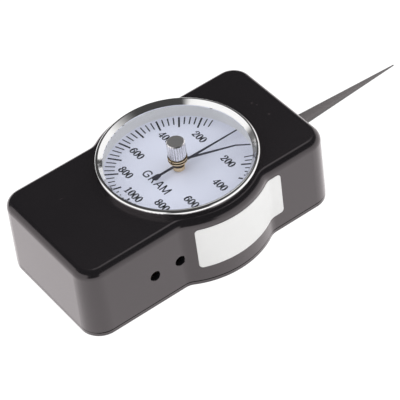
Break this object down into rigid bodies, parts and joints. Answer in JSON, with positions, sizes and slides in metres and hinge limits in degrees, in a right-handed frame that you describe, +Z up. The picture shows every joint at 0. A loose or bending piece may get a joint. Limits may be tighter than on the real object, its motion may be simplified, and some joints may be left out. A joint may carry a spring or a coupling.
{
  "type": "dial force gauge",
  "caption": "Two-way dial force gauge: a tapered probe swings from one end of a slim black case and turns a pointer over a round dial with a resettable drag pointer.",
  "frame": {"origin": "on the resting face, under the dial axis", "axes": "+X along the case towards the probe, +Z up through the dial, -Y the side with the two adjuster holes"},
  "size_m": [0.1516, 0.0634, 0.0367],
  "materials": {
    "black_plastic": "satin moulded black plastic",
    "chrome_bezel": "bright plated, turned",
    "crystal_clear": "clear polished",
    "dial_white": "pale blue-white print ground with dark blue-black print",
    "ring_grey": "light grey satin",
    "pointer_black": "matt black enamel",
    "brass": "turned",
    "knob_steel": "turned, with a straight grip",
    "steel": "ground and brushed",
    "probe_steel": "fine turned taper",
    "spring_steel": "blued spring strip",
    "plate_brass": "brushed plate",
    "block_aluminium": "milled",
    "label_paper": "blank white sticker",
    "screw_black": "blackened",
    "gear_steel": "cut and polished"
  },
  "bodies": {
    "case": {"housing": "black_plastic", "back_cover": "black_plastic", "cover_screws": "screw_black", "side_label": "label_paper", "bezel": "chrome_bezel", "crystal": "crystal_clear", "dial_ring": "ring_grey", "dial_plate": "dial_white", "crystal_bush": "brass", "friction_washer": "spring_steel", "hairspring": "spring_steel", "hairspring_stud": "brass", "base_plate": "plate_brass", "middle_plate": "plate_brass", "top_plate": "plate_brass", "pillars": "brass", "stop_pins": "steel", "measuring_spring": "spring_steel", "spring_block": "block_aluminium", "lock_nuts": "brass"},
    "lever": {"lever_shaft": "steel", "lever_arm": "steel", "probe": "probe_steel", "sector_gear": "plate_brass", "sector_hub": "brass"},
    "pointer": {"main_pointer": "pointer_black", "pointer_hub": "brass", "pointer_arbor": "steel", "pinion": "gear_steel", "hairspring_collet": "brass"},
    "drag": {"reset_knob": "knob_steel", "drag_spindle": "brass", "drag_pointer": "pointer_black"},
    "span_adjuster": {"span_screw": "screw_black"},
    "zero_adjuster": {"zero_screw": "screw_black"}
  },
  "joints": [
    {"name": "lever_swing", "type": "hinge", "parent": "case", "child": "lever", "pos_m": [0.0312, 0, 0.01335], "axis": [0, 0, 1], "range_deg": [-15, 15], "stiffness_Nm_per_rad": 2.4, "deforming": ["measuring_spring"]},
    {"name": "pointer_turn", "type": "hinge", "parent": "case", "child": "pointer", "pos_m": [0, 0, 0.02], "axis": [0, 0, 1], "range_deg": [-180, 180], "deforming": ["hairspring"]},
    {"name": "drag_turn", "type": "hinge", "parent": "case", "child": "drag", "pos_m": [0, 0, 0.03], "axis": [0, 0, 1], "continuous": true},
    {"name": "span_screw_turn", "type": "hinge", "parent": "case", "child": "span_adjuster", "pos_m": [-0.0302, -0.012, 0.01335], "axis": [0, 1, 0], "range_deg": [-180, 180]},
    {"name": "zero_screw_turn", "type": "hinge", "parent": "case", "child": "zero_adjuster", "pos_m": [-0.02, -0.012, 0.01335], "axis": [0, 1, 0], "range_deg": [-180, 180]}
  ],
  "couplings": [
    {"joint": "pointer_turn", "follows": "lever_swing", "ratio": -12}
  ]
}
